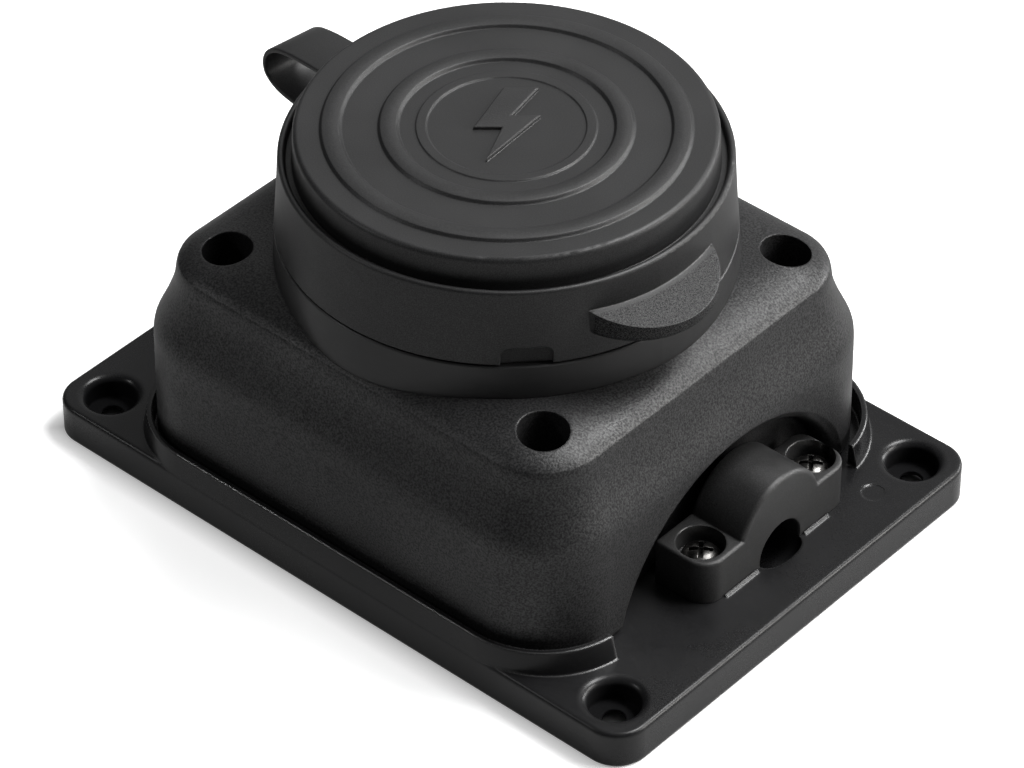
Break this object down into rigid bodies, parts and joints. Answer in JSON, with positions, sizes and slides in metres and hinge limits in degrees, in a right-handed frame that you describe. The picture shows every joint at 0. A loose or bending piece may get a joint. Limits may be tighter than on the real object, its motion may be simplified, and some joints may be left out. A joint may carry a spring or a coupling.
{
  "type": "generator inlet box",
  "caption": "Surface-mounted black plastic generator inlet box with a round strapped sealing cap over a locking inlet, a flanged back plate and a cable clamp at one end.",
  "frame": {"origin": "centre of the back plate's underside, on the wall face", "axes": "+X along the plate towards the cable clamp, +Y across the plate, +Z away from the wall, out of the inlet"},
  "size_m": [0.1834, 0.1312, 0.1018],
  "materials": {
    "base_plastic": "black, smooth moulded, slight sheen",
    "housing_plastic": "black, fine spark-eroded grain",
    "clamp_plastic": "black, satin",
    "cap_rubber": "black, satin soft moulding",
    "seal_rubber": "black, soft",
    "gasket_rubber": "black, matte",
    "gasket_foam": "dark grey closed-cell foam",
    "screw_steel": "zinc-plated steel",
    "insert_brass": "knurled brass",
    "inlet_shell_plastic": "black nylon",
    "inlet_face_plastic": "off-white nylon",
    "terminal_block_plastic": "black nylon",
    "blade_brass": "bright brass",
    "neutral_blade_plated": "nickel-plated brass",
    "ground_blade_brass": "bright brass",
    "clamp_steel": "zinc-plated steel",
    "terminal_screw_steel": "zinc-plated steel",
    "retainer_steel": "stamped steel"
  },
  "bodies": {
    "box": {"base_plate": "base_plastic", "wall_gasket": "gasket_foam", "housing": "housing_plastic", "housing_gasket": "gasket_rubber", "housing_screws": "screw_steel", "housing_inserts": "insert_brass", "clamp_inserts": "insert_brass", "cap_band": "cap_rubber", "hinge_strap": "cap_rubber", "inlet_gasket": "gasket_rubber", "inlet_shell": "inlet_shell_plastic", "inlet_screws": "screw_steel", "inlet_inserts": "insert_brass", "inlet_face": "inlet_face_plastic", "terminal_block": "terminal_block_plastic", "block_screw": "screw_steel", "line_blade_x": "blade_brass", "line_blade_y": "blade_brass", "neutral_blade": "neutral_blade_plated", "ground_blade": "ground_blade_brass", "terminal_clamps": "clamp_steel", "terminal_screws": "terminal_screw_steel", "block_retainer": "retainer_steel"},
    "cap": {"sealing_cap": "cap_rubber", "cap_seal_ring": "seal_rubber"},
    "clamp": {"cable_clamp_saddle": "clamp_plastic", "clamp_screws": "screw_steel"}
  },
  "joints": [
    {"name": "cap_hinge", "type": "hinge", "parent": "box", "child": "cap", "pos_m": [-0.08403, 0.01146, 0.0778], "axis": [-0.1392, -0.9903, 0], "range_deg": [0, 175], "deforming": ["hinge_strap"]},
    {"name": "clamp_release", "type": "slide", "parent": "box", "child": "clamp", "axis": [0, 0, 1], "range_m": [0, 0.004]}
  ]
}
